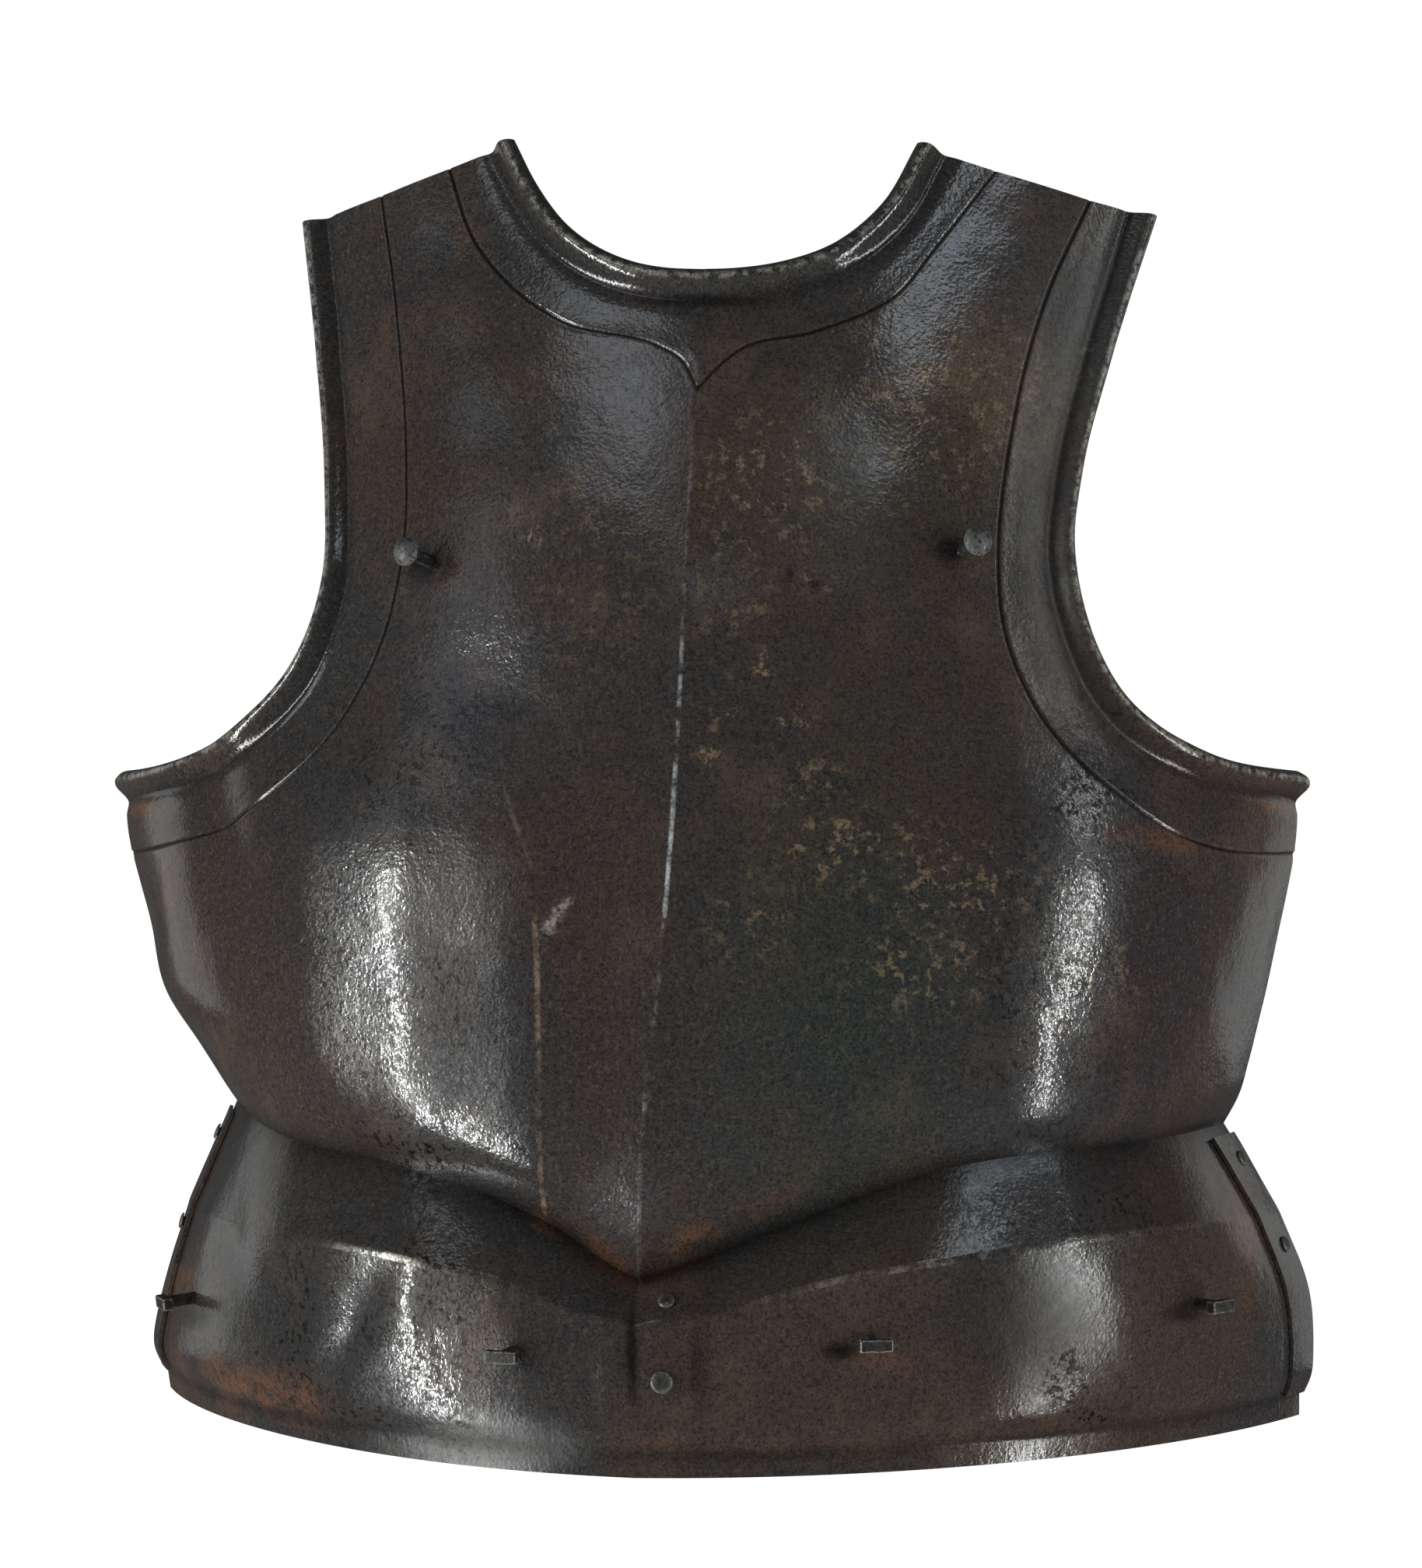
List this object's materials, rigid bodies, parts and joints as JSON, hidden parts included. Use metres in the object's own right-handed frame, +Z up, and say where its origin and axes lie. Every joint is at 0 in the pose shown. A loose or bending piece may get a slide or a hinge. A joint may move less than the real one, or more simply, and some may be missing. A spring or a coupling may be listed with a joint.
{
  "type": "steel breastplate",
  "caption": "Ridged steel breastplate with a pointed waist, turned neck and arm edges, a flared skirt, strap studs and turning pins.",
  "frame": {"origin": "centre of the bounding box's footprint, on the level standing edge of the skirt", "axes": "+Z up, -Y out of the wearer's chest, +X towards the wearer's left arm, which is at the right of a front view"},
  "size_m": [0.3868, 0.1628, 0.4031],
  "materials": {
    "sheet": "forged steel sheet, dark russet patina with fine pitting and a soft sheen",
    "rivet": "hammered flat and patinated like the sheet",
    "stud": "worn brighter at the head",
    "pin": "filed edges worn bright"
  },
  "bodies": {
    "plate": {"breastplate_sheet": "sheet", "side_plate_left": "sheet", "side_plate_right": "sheet", "lap_rivet_upper": "rivet", "lap_rivet_lower": "rivet", "side_rivet_left_upper": "rivet", "side_rivet_left_lower": "rivet", "side_rivet_right_upper": "rivet", "side_rivet_right_lower": "rivet", "strap_stud_left": "stud", "strap_stud_right": "stud"},
    "turning_pin_1_body": {"turning_pin_1": "pin"},
    "turning_pin_2_body": {"turning_pin_2": "pin"},
    "turning_pin_3_body": {"turning_pin_3": "pin"},
    "turning_pin_4_body": {"turning_pin_4": "pin"}
  },
  "joints": [
    {"name": "turning_pin_1_turn", "type": "hinge", "parent": "plate", "child": "turning_pin_1_body", "pos_m": [-0.15755, 0.02663, 0.0365], "axis": [-0.89, -0.4393, -0.1219], "range_deg": [0, 90]},
    {"name": "turning_pin_2_turn", "type": "hinge", "parent": "plate", "child": "turning_pin_2_body", "pos_m": [-0.03762, -0.06924, 0.03653], "axis": [-0.225, -0.9737, -0.0349], "range_deg": [0, 90]},
    {"name": "turning_pin_3_turn", "type": "hinge", "parent": "plate", "child": "turning_pin_3_body", "pos_m": [0.07112, -0.06055, 0.04105], "axis": [0.3297, -0.9441, 0], "range_deg": [0, 90]},
    {"name": "turning_pin_4_turn", "type": "hinge", "parent": "plate", "child": "turning_pin_4_body", "pos_m": [0.16318, 0.01131, 0.04402], "axis": [0.8418, -0.5387, 0.0349], "range_deg": [0, 90]}
  ]
}
